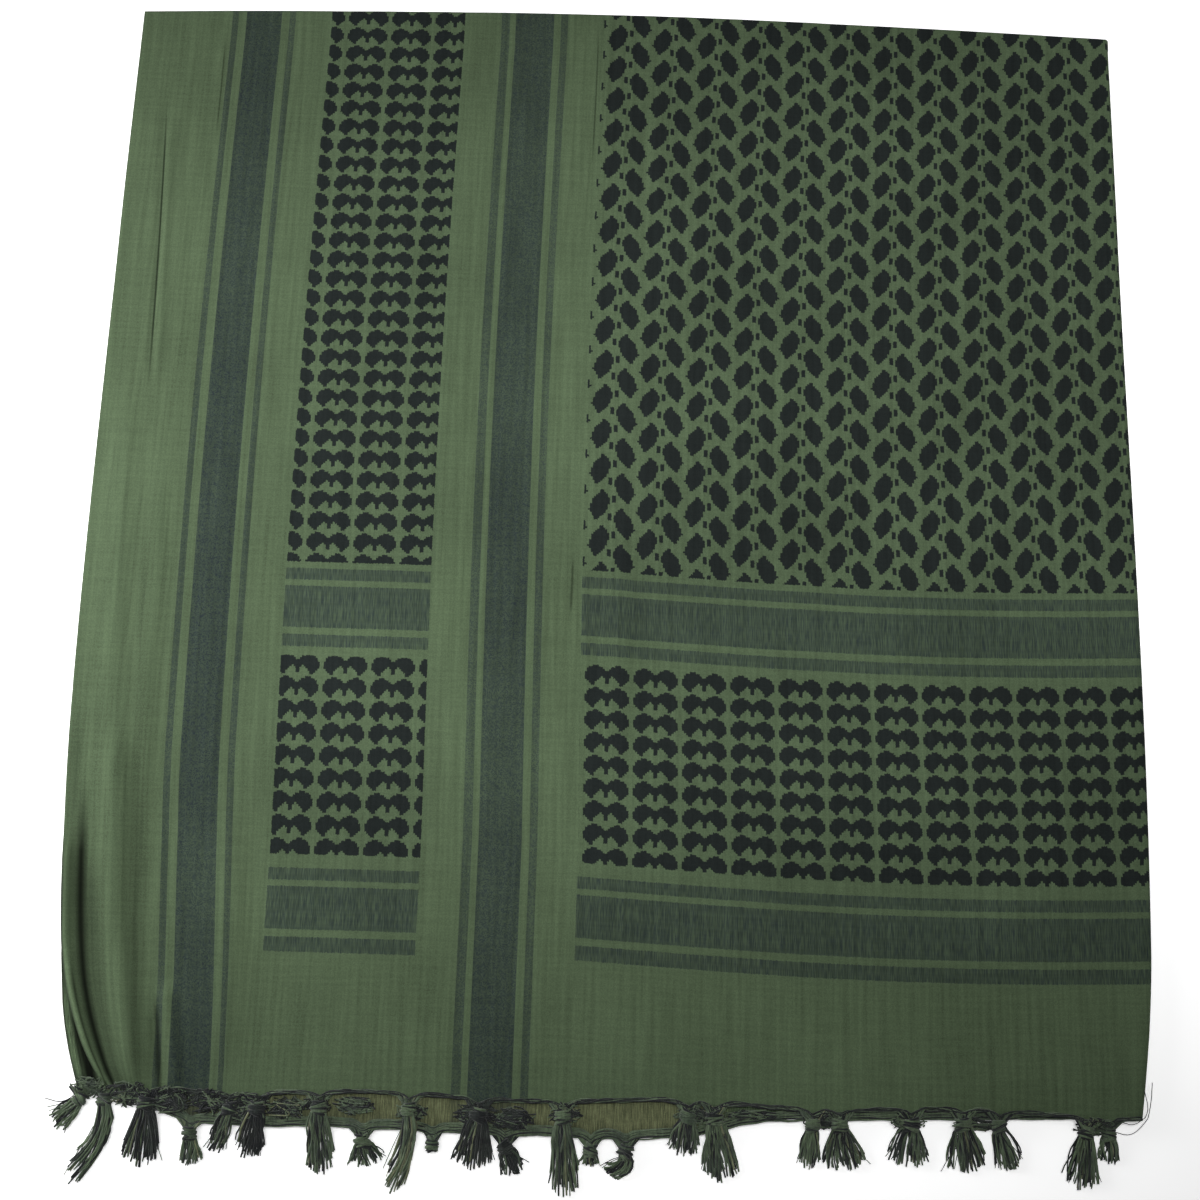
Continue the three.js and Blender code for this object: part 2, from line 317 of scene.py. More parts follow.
def netChart(motif):
    rows = len(motif)
    return [motif[row] + motif[(row + rows // 2) % rows][::-1] for row in range(rows)]


def scallopChart(motif):
    return [row + row[::-1] for row in motif]


pattern = {  # the cloth's drawing, in mm from the selvedge and from the hem
    "thinStripes": [(51.5, 55.0), (84.0, 87.5), (205.0, 209.7), (238.8, 242.8)],
    "wideStripes": [(59.5, 79.5), (213.0, 234.8)],
    "thinBars": [(66.5, 73.8), (101.8, 107.8), (221.6, 228.0), (257.3, 263.5)],
    "wideBars": [(77.5, 98.7), (231.7, 254.0)],
    "column": (108.0, 184.0),
    "field": (263.4, 600.0),
    "scallopBand": (114.6, 217.0),
    "upper": (267.0, 700.0),
    "net": {"repeat": (24.78, 19.85), "start": (426.5, 401.2)},
    "bandScallop": {"repeat": (24.6, 11.72), "start": (424.4, 170.0)},
    "columnScallop": {"repeat": (24.75, 11.85), "start": (166.4, 146.6)},
    "upperScallop": {"repeat": (24.75, 11.5), "start": (153.7, 294.9)},
    "thread": 0.52,
    "columnEnd": 200,
    "upperFrom": 262,
    "bareReverse": {"across": (64, 336), "up": (-5, 60)},  # where the reverse shows pale
}


def chartGroup(name, chart):  # reads a chart as black or ground
    tree, desk, start, end = newGroup(
        name,
        [("Across", number, 0.0), ("Up", number, 0.0), ("Width", number, 0.02), ("Height", number, 0.02),
         ("StartAcross", number, 0.0), ("StartUp", number, 0.0)],
        [("Black", number)],
    )
    columns, rows = len(chart[0]), len(chart)
    half = columns // 2
    fromLeft = desk.math("ADD", desk.math("SUBTRACT", start["Across"], start["StartAcross"]), start["Width"])
    fromLow = desk.math("ADD", desk.math("SUBTRACT", start["Up"], start["StartUp"]), start["Height"])
    across = desk.math("DIVIDE", fromLeft, start["Width"])
    up = desk.math("DIVIDE", fromLow, start["Height"])
    across = desk.math("SUBTRACT", across, desk.math("FLOOR", across))
    up = desk.math("SUBTRACT", up, desk.math("FLOOR", up))
    column = desk.math("FLOOR", desk.math("MULTIPLY", across, float(columns)))
    row = desk.math("FLOOR", desk.math("MULTIPLY", up, float(rows)))
    ramp = desk.add("ShaderNodeValToRGB")
    ramp.color_ramp.interpolation = "CONSTANT"
    desk.join(desk.math("DIVIDE", desk.math("ADD", row, 0.5), float(rows)), ramp.inputs[0])
    stops = ramp.color_ramp.elements
    full = 2.0 ** half
    for index, line in enumerate(reversed(chart)):
        low = sum(2 ** k for k in range(half) if line[k] == "#")
        high = sum(2 ** k for k in range(half) if line[half + k] == "#")
        stop = stops[0] if index == 0 else stops.new(index / rows)
        stop.color = (low / full, high / full, 0, 1)
    stops.remove(stops[-1])  # the ramp's own second stop
    parts = desk.add("ShaderNodeSeparateColor")
    desk.join(ramp.outputs[0], parts.inputs[0])
    late = desk.math("GREATER_THAN", column, half - 0.5)
    early = desk.math("SUBTRACT", 1.0, late)
    value = desk.math(
        "ADD", desk.math("MULTIPLY", parts.outputs[0], early), desk.math("MULTIPLY", parts.outputs[1], late)
    )
    place = desk.math("SUBTRACT", column, desk.math("MULTIPLY", late, float(half)))
    whole = desk.math("ADD", desk.math("MULTIPLY", value, full), 0.5)
    shifted = desk.math("FLOOR", desk.math("DIVIDE", whole, desk.math("POWER", 2.0, place)))
    desk.join(desk.math("MODULO", shifted, 2.0), end["Black"])
    return tree


def bandGroup():  # 1 between two edges
    tree, desk, start, end = newGroup(
        "bandBetween",
        [("Value", number, 0.0), ("From", number, 0.0), ("To", number, 1.0), ("Soft", number, 0.0002)],
        [("Band", number)],
    )
    low = desk.math("SUBTRACT", start["From"], start["Soft"])
    lowEnd = desk.math("ADD", start["From"], start["Soft"])
    high = desk.math("SUBTRACT", start["To"], start["Soft"])
    highEnd = desk.math("ADD", start["To"], start["Soft"])
    rise = desk.range(start["Value"], low, lowEnd)
    fall = desk.range(start["Value"], high, highEnd, 1.0, 0.0)
    desk.join(desk.math("MULTIPLY", rise, fall), end["Band"])
    return tree


def looseThreadGroup():  # each warp thread starts and stops its colour a little early or late
    tree, desk, start, end = newGroup(
        "looseThread",
        [("Across", number, 0.0), ("Up", number, 0.0), ("Thread", number, 0.0005), ("Amount", number, 0.0005)],
        [("Across", number), ("Up", number)],
    )
    thread = desk.math("FLOOR", desk.math("DIVIDE", start["Across"], start["Thread"]))
    stretch = desk.math("FLOOR", desk.math("DIVIDE", start["Up"], colourRun))
    random2d = desk.add("ShaderNodeTexWhiteNoise", noise_dimensions="2D")
    desk.join(desk.point(thread, stretch), random2d.inputs["Vector"])
    shift = desk.math("MULTIPLY", desk.math("SUBTRACT", random2d.outputs[0], 0.5), start["Amount"])
    pick = desk.math("FLOOR", desk.math("DIVIDE", start["Up"], weftRow))
    sway = desk.add("ShaderNodeTexWhiteNoise", noise_dimensions="2D")
    desk.join(desk.point(pick, 3.7), sway.inputs["Vector"])
    side = desk.math("SUBTRACT", sway.outputs[0], 0.5)
    side = desk.math("MULTIPLY", side, desk.math("MULTIPLY", start["Amount"], 0.5))
    desk.join(desk.math("ADD", start["Across"], side), end["Across"])
    desk.join(desk.math("ADD", start["Up"], shift), end["Up"])
    return tree


def slubGroup():  # uneven yarn: soft streaks along the warp and finer ones along the weft
    tree, desk, start, end = newGroup(
        "unevenYarn", [("Vector", vector, None)],
        [("Streak", number), ("Weft", number), ("Cloud", number), ("Fine", number)],
    )
    desk.join(desk.noise(desk.stretch(start["Vector"], (1.0, 0.035, 1.0)), 420.0, 2.0, 0.6, True), end["Streak"])
    desk.join(desk.noise(desk.stretch(start["Vector"], (0.05, 1.0, 1.0)), 600.0, 1.0, 0.6, True), end["Weft"])
    desk.join(desk.noise(start["Vector"], 9.0, 2.0, 0.55, True), end["Cloud"])
    desk.join(desk.noise(desk.stretch(start["Vector"], (1.0, 0.05, 1.0)), 2300.0, 1.0, 0.7, True), end["Fine"])
    return tree


def crossingGroup():  # a random tone for each place where two threads cross
    tree, desk, start, end = newGroup(
        "threadCrossing", [("Across", number, 0.0), ("Up", number, 0.0), ("Thread", number, 0.0005)],
        [("Tone", number)],
    )
    column = desk.math("FLOOR", desk.math("DIVIDE", start["Across"], start["Thread"]))
    row = desk.math("FLOOR", desk.math("DIVIDE", start["Up"], start["Thread"]))
    random2d = desk.add("ShaderNodeTexWhiteNoise", noise_dimensions="2D")
    desk.join(desk.point(column, row), random2d.inputs["Vector"])
    desk.join(random2d.outputs[0], end["Tone"])
    return tree


def creaseShadeGroup():  # the line where crease shade and ridge highlights are painted: a thin line that fades out at both ends
    tree, desk, start, end = newGroup(
        "paintedCreaseShade",
        [("Across", number, 0.0), ("Up", number, 0.0), ("LowAcross", number, 0.0), ("LowUp", number, 0.0),
         ("HighAcross", number, 0.0), ("HighUp", number, 1.0), ("Bow", number, 0.0), ("Width", number, 0.001)],
        [("Crease", number)],
    )
    share = desk.range(start["Up"], start["LowUp"], start["HighUp"])
    line = desk.range(start["Up"], start["LowUp"], start["HighUp"], start["LowAcross"], start["HighAcross"])
    arc = desk.math("MULTIPLY", share, desk.math("SUBTRACT", 1.0, share))
    line = desk.math("ADD", line, desk.math("MULTIPLY", desk.math("MULTIPLY", arc, 4.0), start["Bow"]))
    away = desk.math("ABSOLUTE", desk.math("SUBTRACT", start["Across"], line))
    near = desk.range(away, 0.0, start["Width"], 1.0, 0.0, "SMOOTHSTEP")
    ends = desk.math("MULTIPLY", desk.range(share, 0.0, 0.2), desk.range(share, 0.8, 1.0, 1.0, 0.0))
    desk.join(desk.math("MULTIPLY", near, ends), end["Crease"])
    return tree


def weaveGroup():  # plain weave: warp and weft crowns, as a height and as a mask of the warp
    tree, desk, start, end = newGroup(
        "plainWeave", [("Across", number, 0.0), ("Up", number, 0.0), ("Thread", number, 0.0005)],
        [("Height", number), ("Warp", number)],
    )
    turnAcross = desk.math("MULTIPLY", desk.math("DIVIDE", start["Across"], start["Thread"]), math.pi)
    turnUp = desk.math("MULTIPLY", desk.math("DIVIDE", start["Up"], start["Thread"]), math.pi)
    cross = desk.math("MULTIPLY", desk.math("SINE", turnAcross), desk.math("SINE", turnUp))
    desk.join(desk.math("ABSOLUTE", cross), end["Height"])
    desk.join(desk.range(cross, -0.2, 0.2), end["Warp"])
    return tree


netTree = chartGroup("netChart", netChart(netLozenge))
scallopTree = chartGroup("scallopChart", scallopChart(scallopBead))
bandTree = bandGroup()
looseTree = looseThreadGroup()
slubTree = slubGroup()
crossingTree = crossingGroup()
creaseShadeTree = creaseShadeGroup()
weaveTree = weaveGroup()

clothColours = {
    "green": (0.0645, 0.0930, 0.0508, 1),
    "black": (0.0112, 0.0146, 0.0138, 1),
    "blueBlack": (0.0150, 0.0215, 0.0250, 1),
    "tan": (0.100, 0.112, 0.058, 1),
    "stripeShare": 0.68,
    "thinStripeShare": 0.52,
    "barShare": 0.59,
    "thinBarShare": 0.57,
}

# Painted shade in creases and fold valleys, and painted highlights on lit ridges where the darkness is below 0: low
# end, high end, sideways bow, width and darkness, in mm on the cloth.
paintedCreaseShades = [
    {"low": (25.5, 360), "high": (18.5, 537), "bow": 1.0, "width": 1.0, "dark": 0.8},
    {"low": (49.5, 512), "high": (48.5, 572), "bow": 0.3, "width": 0.7, "dark": 0.45},
    {"low": (260.5, 500), "high": (260.0, 590), "bow": 0.4, "width": 0.8, "dark": 0.5},
    {"low": (257.6, 243), "high": (258.2, 274), "bow": 0.2, "width": 1.2, "dark": 0.5},
    {"low": (13.5, -34), "high": (9.5, 150), "bow": -1.0, "width": 4.6, "dark": 0.92},
    {"low": (19.0, -34), "high": (13.0, 125), "bow": 1.0, "width": 10.0, "dark": 0.4},
    {"low": (6.5, -14), "high": (5.0, 62), "bow": 0.0, "width": 1.2, "dark": 0.55},
    {"low": (3.5, 60), "high": (4.5, 190), "bow": 0.0, "width": 4.5, "dark": 0.25},
    {"low": (3.4, -20), "high": (3.2, 105), "bow": 0.0, "width": 2.6, "dark": -0.26},
    {"low": (-0.6, -30), "high": (0.4, 126), "bow": 0.0, "width": 2.2, "dark": 0.75},
    {"low": (30.5, 0), "high": (30.5, 190), "bow": 0.5, "width": 2.0, "dark": -0.13},
    {"low": (38.5, -20), "high": (39.0, 165), "bow": 0.6, "width": 6.5, "dark": 0.28},
    {"low": (42.0, 130), "high": (31.5, 290), "bow": 0.4, "width": 7.0, "dark": 0.14},
    {"low": (56.5, -12), "high": (50.5, 46), "bow": 0.0, "width": 2.4, "dark": 0.6},
]
hemShade = 6.5  # the reverse darkens this far from its hem, in mm
paintedGapShadow = [  # painted shadow in the gap beside the face ply's drawn-in corner, on the reverse only
    {"low": (13.5, -30), "high": (-1.0, 128), "bow": -1.2, "width": 6.0, "dark": 0.92},
]


def anyOf(desk, masks):
    total = masks[0]
    for mask in masks[1:]:
        total = desk.math("MAXIMUM", total, mask)
    return total


def clothMaterial(name, reverse=False):
    material = bpy.data.materials.new(name)
    material.use_nodes = True
    desk = NodeDesk(material.node_tree)
    shader = material.node_tree.nodes["Principled BSDF"]
    uv = desk.add("ShaderNodeUVMap", uv_map="cloth").outputs[0]
    split = desk.add("ShaderNodeSeparateXYZ")
    desk.join(uv, split.inputs[0])
    across, up = split.outputs[0], split.outputs[1]
    loose = desk.group(looseTree, Across=across, Up=up, Thread=pattern["thread"] * mm, Amount=0.45 * mm)
    looseAcross, looseUp = loose[0], loose[1]
    slub = desk.group(slubTree, Vector=uv)
    streak, weft, cloud, fine = slub[0], slub[1], slub[2], slub[3]
    crossing = desk.group(crossingTree, Across=across, Up=up, Thread=pattern["thread"] * mm)[0]

    def band(value, limits, soft=0.12):
        return desk.group(bandTree, Value=value, From=limits[0] * mm, To=limits[1] * mm, Soft=soft * mm)[0]

    def bands(value, rows, soft=0.12):
        return anyOf(desk, [band(value, row, soft) for row in rows])

    column = band(looseAcross, pattern["column"])
    field = band(looseAcross, pattern["field"])
    patterned = desk.math("MAXIMUM", column, field)
    upper = band(looseUp, pattern["upper"])
    scallopBand = band(looseUp, pattern["scallopBand"])
    inColumn = desk.math("LESS_THAN", across, pattern["columnEnd"] * mm)
    high = desk.math("MULTIPLY", inColumn, desk.math("GREATER_THAN", up, pattern["upperFrom"] * mm))

    def chosen(pick):  # the repeat or start of the scallops that lie here
        band, low, top = [pick(pattern[key]) * mm for key in ("bandScallop", "columnScallop", "upperScallop")]
        value = desk.math("ADD", desk.math("MULTIPLY", inColumn, low - band), band)
        return desk.math("ADD", value, desk.math("MULTIPLY", high, top - low))

    scallop = desk.group(
        scallopTree, Across=looseAcross, Up=looseUp,
        Width=chosen(lambda row: row["repeat"][0]), Height=chosen(lambda row: row["repeat"][1]),
        StartAcross=chosen(lambda row: row["start"][0]), StartUp=chosen(lambda row: row["start"][1]),
    )[0]
    net = desk.group(
        netTree, Across=looseAcross, Up=looseUp,
        Width=pattern["net"]["repeat"][0] * mm, Height=pattern["net"]["repeat"][1] * mm,
        StartAcross=pattern["net"]["start"][0] * mm, StartUp=pattern["net"]["start"][1] * mm,
    )[0]
    netHere = desk.math("MULTIPLY", field, upper)
    scallopHere = desk.math("ADD", desk.math("MULTIPLY", patterned, scallopBand), desk.math("MULTIPLY", column, upper))
    drawn = desk.math("ADD", desk.math("MULTIPLY", netHere, net), desk.math("MULTIPLY", scallopHere, scallop))

    speck = desk.range(crossing, 0.0, 1.0, -0.3, 0.3)
    line = desk.range(fine, 0.35, 0.65, 0.24, -0.24)
    mottle = desk.math("ADD", speck, desk.range(cloud, 0.3, 0.7, 0.05, -0.05))
    wide = desk.math(
        "MULTIPLY", bands(across, pattern["wideStripes"]), desk.math("ADD", mottle, clothColours["stripeShare"])
    )
    thin = desk.math(
        "MULTIPLY", bands(across, pattern["thinStripes"]), desk.math("ADD", mottle, clothColours["thinStripeShare"])
    )
    streaks = desk.math("ADD", line, desk.math("MULTIPLY", speck, 0.4))
    bars = desk.math(
        "MULTIPLY", bands(looseUp, pattern["wideBars"]), desk.math("ADD", streaks, clothColours["barShare"])
    )
    thinBars = desk.math(
        "MULTIPLY", bands(looseUp, pattern["thinBars"]), desk.math("ADD", streaks, clothColours["thinBarShare"])
    )
    barred = desk.math("MULTIPLY", patterned, desk.math("ADD", bars, thinBars))
    heather = desk.math("MINIMUM", desk.math("ADD", desk.math("ADD", wide, thin), barred), 1.0)
    ground = clothColours["green"]
    if reverse:
        place = pattern["bareReverse"]
        bare = desk.math("MULTIPLY", band(across, place["across"], 6), band(up, place["up"], 3))
        ground = desk.blend(bare, clothColours["green"], clothColours["tan"])
        ground = desk.blend(desk.range(up, hemShade * mm, 0.0, 0.0, 0.75), ground, clothColours["black"])
        drawn = desk.math("MULTIPLY", drawn, 0.4)
        heather = desk.math("MULTIPLY", heather, 0.6)
    yarn = desk.blend(heather, ground, clothColours["blueBlack"])
    yarn = desk.blend(drawn, yarn, clothColours["black"])
    tone = desk.math(
        "ADD",
        desk.range(streak, 0.3, 0.7, 0.88, 1.12),
        desk.math("ADD", desk.range(weft, 0.3, 0.7, -0.05, 0.05), desk.range(cloud, 0.3, 0.7, -0.09, 0.09)),
    )
    tone = desk.math("ADD", tone, desk.range(crossing, 0.0, 1.0, -0.13, 0.13))
    if reverse:
        tone = desk.math("MULTIPLY", tone, desk.range(fine, 0.35, 0.65, 0.62, 1.3))
    # painted crease shade and painted ridge highlights darken and lighten the tone along these lines
    for row in paintedCreaseShades + paintedGapShadow if reverse else paintedCreaseShades:
        crease = desk.group(
            creaseShadeTree, Across=across, Up=up, LowAcross=row["low"][0] * mm, LowUp=row["low"][1] * mm,
            HighAcross=row["high"][0] * mm, HighUp=row["high"][1] * mm, Bow=row["bow"] * mm, Width=row["width"] * mm,
        )[0]
        tone = desk.math("MULTIPLY", tone, desk.range(crease, 0.0, 1.0, 1.0, 1.0 - row["dark"]))
    toned = desk.blend(1.0, yarn, desk.point(tone, tone, tone), "MULTIPLY")
    desk.join(toned, shader.inputs["Base Color"])
    shader.inputs["Roughness"].default_value = 0.93
    shader.inputs["Specular IOR Level"].default_value = 0.08
    weave = desk.group(weaveTree, Across=across, Up=up, Thread=pattern["thread"] * mm)
    height = desk.math("ADD", weave[0], desk.math("MULTIPLY", streak, 1.4))
    bump = desk.add("ShaderNodeBump")
    bump.inputs["Strength"].default_value = 0.35
    bump.inputs["Distance"].default_value = 0.12 * mm
    desk.join(height, bump.inputs["Height"])
    desk.join(bump.outputs[0], shader.inputs["Normal"])
    return material


def yarnMaterial(name, tint, tipTint):
    material = bpy.data.materials.new(name)
    material.use_nodes = True
    desk = NodeDesk(material.node_tree)
    shader = material.node_tree.nodes["Principled BSDF"]
    place = desk.add("ShaderNodeTexCoord").outputs["Object"]
    fibre = desk.noise(desk.stretch(place, (1.0, 0.25, 1.0)), 900.0, 3.0, 0.6)
    patch = desk.noise(place, 120.0, 2.0, 0.5)
    share = desk.range(patch, 0.42, 0.66)
    toned = desk.blend(share, tint, tipTint)
    tone = desk.range(fibre, 0.3, 0.7, 0.7, 1.3)
    desk.join(desk.blend(1.0, toned, desk.point(tone, tone, tone), "MULTIPLY"), shader.inputs["Base Color"])
    shader.inputs["Roughness"].default_value = 0.95
    shader.inputs["Specular IOR Level"].default_value = 0.1
    shader.inputs["Sheen Weight"].default_value = 0.15
    bump = desk.add("ShaderNodeBump")
    bump.inputs["Strength"].default_value = 0.6
    bump.inputs["Distance"].default_value = 0.2 * mm
    desk.join(fibre, bump.inputs["Height"])
    desk.join(bump.outputs[0], shader.inputs["Normal"])
    return material


faceMaterial = clothMaterial("wovenFace")
reverseMaterial = clothMaterial("wovenReverse", reverse=True)
yarns = [
    yarnMaterial("greenYarn", (0.088, 0.122, 0.072, 1), (0.050, 0.070, 0.047, 1)),
    yarnMaterial("blackYarn", (0.014, 0.016, 0.017, 1), (0.026, 0.032, 0.028, 1)),
    yarnMaterial("paleYarn", (0.155, 0.17, 0.098, 1), (0.085, 0.108, 0.062, 1)),
]
print("materials made")


clothEdges = {
    "faceLeft": [
        (-278, -238), (-262, -249), (-245, -257.5), (-224, -264.5), (-198, -268.8), (-150, -272.6), (-90, -275.4),
        (190, -276),
        (322, -275),
    ],
    "layersLeft": [
        (-284, -251), (-255, -261), (-235, -265.6), (-212, -268.6), (-190, -270.2), (-150, -272.6), (-90, -275.2),
        (322, -274.8),
    ],
    "side": [(-285, 266), (-240, 272), (-220, 274), (-195, 275.6), (200, 276), (322, 275.4)],
    "underHem": [
        (-250, -276), (-226, -281), (-205, -289.5), (-120, -292), (10, -293.5), (48, -291.5), (75, -285), (125, -282),
        (200, -279.5), (268, -277),
    ],
    "topBow": 6.5,
    "topPower": 1.7,
    "hem": -275,
}


def topY(x):
    return faceHigh.y / mm - clothEdges["topBow"] * abs(x / halfWidth) ** clothEdges["topPower"]


# The fringe: the ply that each tassel hangs from, its root and tip, half width at the tip, sideways bow,
# number of threads, and shares of black and of pale ones.
tasselKeys = ("ply", "rootX", "tip", "half", "bow", "threads", "black", "pale")
tasselRows = [
    ("face", -252, (-265, -293), 6, 0, 26, 0.35, 0.05),
    ("face", -240, (-252, -320.5), 4.5, 4, 30, 0.3, 0.06),
    ("face", -219, (-221, -311), 9, 0, 44, 0.8, 0.04),
    ("under", -197, (-196, -310), 5, 0, 26, 0.3, 0.07),
    ("face", -178, (-186, -305), 4, 0, 26, 0.75, 0.05),
    ("face", -165, (-169, -306), 6.5, 0, 42, 0.92, 0.03),
    ("face", -135, (-132, -313), 7, 0, 38, 0.3, 0.07),
    ("under", -113, (-110, -308), 9, 0, 36, 0.3, 0.07),
    ("face", -91, (-98, -320), 4.5, 3, 30, 0.3, 0.4),
    ("under", -79, (-79, -301), 2.5, 0, 12, 0.4, 0.1),
    ("face", -57, (-60, -308), 9.5, 0, 54, 0.8, 0.05),
    ("under", -43.5, (-38, -310), 6, 0, 30, 0.9, 0.03),
    ("face", -16, (-14, -319), 7, 0, 40, 0.35, 0.07),
    ("under", -2, (-3, -305), 5, 0, 24, 0.45, 0.07),
    ("under", 15, (8, -310), 5, 3, 32, 0.3, 0.08),
    ("face", 45, (43, -299), 7.5, 0, 36, 0.35, 0.05),
    ("face", 58, (63, -310), 9, 0, 46, 0.3, 0.05),
    ("face", 106, (104, -303), 5, 0, 28, 0.3, 0.05),
    ("face", 119, (122, -304), 10.5, 0, 44, 0.35, 0.07),
    ("face", 154, (152, -301), 10, 0, 44, 0.35, 0.05),
    ("face", 179, (182, -303), 10, 0, 46, 0.45, 0.08),
    ("face", 197, (204, -301), 7, 0, 36, 0.4, 0.1),
    ("face", 240, (236, -309), 8.5, 0, 42, 0.4, 0.07),
    ("face", 251, (251, -297), 5, 0, 26, 0.4, 0.06),
]
tassels = [dict(zip(tasselKeys, row)) for row in tasselRows]
hemShape = {"dip": 3.4, "spread": 3.2, "wave": 1.2, "waveLength": 145, "fade": 8}


def hemDip(ply, x):  # the hem is drawn down to each knot and arches up between them
    dip = 0.0
    for row in tassels:
        if row["ply"] == ply:
            dip = max(dip, math.exp(-abs(x - row["rootX"]) / hemShape["spread"]))
    return hemShape["dip"] * dip


def faceHemBase(x):
    return clothEdges["hem"] + hemShape["wave"] * math.sin(2 * math.pi * x / hemShape["waveLength"])


def faceHemY(x):
    return faceHemBase(x) - hemDip("face", x)


def underHemBase(x):
    return readTable(clothEdges["underHem"], x) + 2.5


def underHemY(x):
    return underHemBase(x) - hemDip("under", x)


# Where the drawing lies on the cloth, in mm: the stripes bow to the left at mid height, the margin is gathered
# towards the hem, and the bars and rows sag between the column and the side fold.
drawingPlace = {
    "marginWidth": 51.5, "rise": 0.9,
    "bow": 2.8, "bowFrom": -150, "bowTo": 300,
    "gather": 7.5, "gatherFrom": -278, "gatherTo": -100, "gatherEdge": -164, "gatherFade": 25,
    "sag": 5.9, "sagFrom": -14, "sagLength": 360,
    "squeeze": 0.00008, "squeezeFrom": 263.4, "squeezeCentre": 426,
    "fan": 0.00007, "fanFrom": -30, "fanEdge": -13,
}


def sineBow(value, low, high):  # 0 outside the stretch, 1 in its middle
    share = min(1.0, max(0.0, (value - low) / (high - low)))
    return math.sin(math.pi * share)


def drawnAcross(x, y, left):
    row = drawingPlace
    drift = -row["bow"] * sineBow(y, row["bowFrom"], row["bowTo"])
    shift = row["gather"] * (1 - smooth((y - row["gatherFrom"]) / (row["gatherTo"] - row["gatherFrom"])))
    edge = row["marginWidth"] - halfWidth + drift + shift
    if x < edge:
        return row["marginWidth"] * (x - left) / (edge - left)
    u = x + halfWidth - drift - shift * smooth((row["gatherEdge"] - x) / row["gatherFade"])
    if u > row["squeezeFrom"]:
        start = row["squeezeFrom"] - row["squeezeCentre"]
        u += row["squeeze"] * ((u - row["squeezeCentre"]) ** 2 - start ** 2)
    return u


def drawnUp(x, y):
    row = drawingPlace
    fan = row["fan"] * max(0.0, x - row["fanEdge"]) * max(0.0, y - row["fanFrom"])
    sag = row["sag"] * sineBow(x, row["sagFrom"], row["sagFrom"] + row["sagLength"])
    return y - clothEdges["hem"] - row["rise"] + sag + fan


# Soft folds and creases, in mm: height (a trough is below 0), half width, and the line.
folds = [
    {"rise": 1.3, "half": 7, "line": [(-263, 90), (-258, -40), (-250, -140)]},
    {"rise": 1.0, "half": 5, "line": [(-240, 60), (-238, -60), (-233, -150)]},
    {"rise": 4.2, "half": 7.5, "line": [(-250, -95), (-244, -185), (-234, -238), (-223, -280)]},
    {"rise": 3.4, "half": 2.8, "line": [(-270, -150), (-265.5, -205), (-260, -230), (-251, -253), (-239, -275)]},
    {"rise": 2.6, "half": 4.2, "line": [(-214, -225), (-205, -276)]},
    {"rise": -1.0, "half": 2.2, "line": [(-219, -240), (-211, -272)]},
    {"rise": 1.6, "half": 8, "line": [(-189, -130), (-183, -265)]},
    {"rise": 0.9, "half": 9, "line": [(-208, 60), (-206, -40), (-202, -150)]},
    {"rise": -0.7, "half": 1.8, "line": [(-258, 262), (-255, 203), (-253, 149), (-251, 85)]},
    {"rise": 0.7, "half": 2.5, "line": [(-254.5, 262), (-251.5, 203), (-249.5, 149), (-247.5, 85)]},
    {"rise": 0.6, "half": 2.2, "line": [(-229, 300), (-228, 225)]},
    {"rise": 0.8, "half": 3.0, "line": [(-13, 316), (-12, 225)]},
    {"rise": -0.7, "half": 1.8, "line": [(-16, 316), (-15, 225)]},
    {"rise": -0.7, "half": 2.0, "line": [(-19, 20), (-18, -45)]},
    {"rise": 1.2, "half": 6, "line": [(4, 40), (5, -40), (7, -110)]},
    {"rise": -0.7, "half": 3.5, "line": [(13, 20), (14, -70)]},
    {"rise": 0.4, "half": 2.2, "line": [(-276, 41), (-228, 40)]},
    {"rise": 0.8, "half": 14, "line": [(60, 120), (110, -40), (120, -190)]},
    {"rise": 0.7, "half": 16, "line": [(190, 240), (200, 60)]},
    {"rise": 1.4, "half": 10, "line": [(110, -252), (180, -262), (262, -258)]},
    {"rise": 1.0, "half": 8, "line": [(-110, -250), (-20, -258)]},
    {"rise": 0.5, "half": 11, "line": [(-120, 250), (-112, 60), (-120, -120)]},
]


def foldRise(x, y):
    height = 0.0
    for row in folds:
        away, share = lineReach(row["line"], x, y)
        if away < row["half"] * 3:
            ends = smooth(min(share, 1 - share) * 6 + 0.15)
            height += row["rise"] * ends * math.exp(-((away / row["half"]) ** 2))
    height += 0.35 * noise.noise(Vector((x * 0.013, y * 0.007, 3.1)))
    height += 0.12 * noise.noise(Vector((x * 0.05, y * 0.012, 7.7)))
    return height


faceGrid = {
    "margin": 62, "marginColumns": 54, "columns": 142,
    "low": 70, "lowRows": 34, "rows": 156,
    "rollSteps": 10, "sideRoll": 2.8, "topRoll": 0.95, "tuck": 5,
    "wall": 0.55, "top": 6.0,
}


